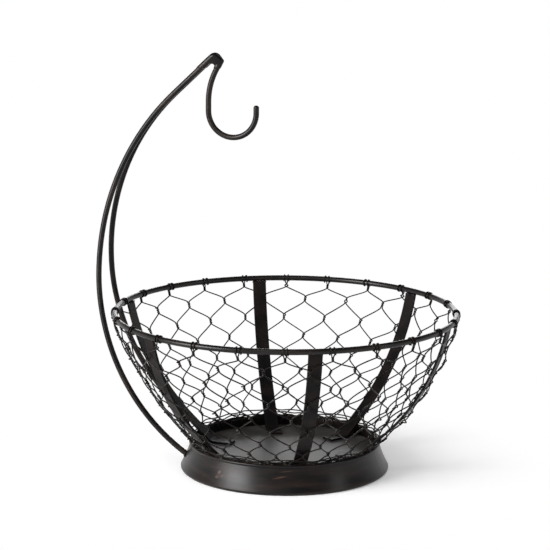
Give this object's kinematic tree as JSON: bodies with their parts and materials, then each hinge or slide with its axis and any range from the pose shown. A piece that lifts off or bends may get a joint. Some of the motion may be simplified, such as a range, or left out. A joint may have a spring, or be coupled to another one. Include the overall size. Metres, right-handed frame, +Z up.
{
  "type": "fruit bowl with banana hanger",
  "caption": "Round open wire bowl on a flared base ring, with a bowed rod hanger at one side that carries a hook over the bowl for bananas.",
  "frame": {"origin": "the middle of the base ring, on the surface it stands on", "axes": "+Z up along the bowl's axis; the hanger stands on the -X side, and its hook reaches back towards +X; +Y to the bowl's far side as the picture sees it"},
  "size_m": [0.3294, 0.3066, 0.3676],
  "materials": {
    "base_ring": "satin antique black over spun steel",
    "rim_rod": "satin antique black",
    "hanger_rod": "satin antique black, rubbed a little",
    "rib_strip": "satin antique black",
    "floor_sheet": "worn grey satin",
    "netting_wire": "satin antique black"
  },
  "bodies": {
    "root": {"base_ring": "base_ring", "floor_plate": "floor_sheet", "rim_ring": "rim_rod", "rib_1": "rib_strip", "rib_2": "rib_strip", "rib_3": "rib_strip", "rib_4": "rib_strip", "rib_5": "rib_strip", "rib_6": "rib_strip", "wire_netting": "netting_wire", "hanger_leg_front": "hanger_rod", "hanger_leg_back": "hanger_rod", "hook_rod": "hanger_rod", "tip_weld": "hanger_rod"}
  },
  "joints": []
}
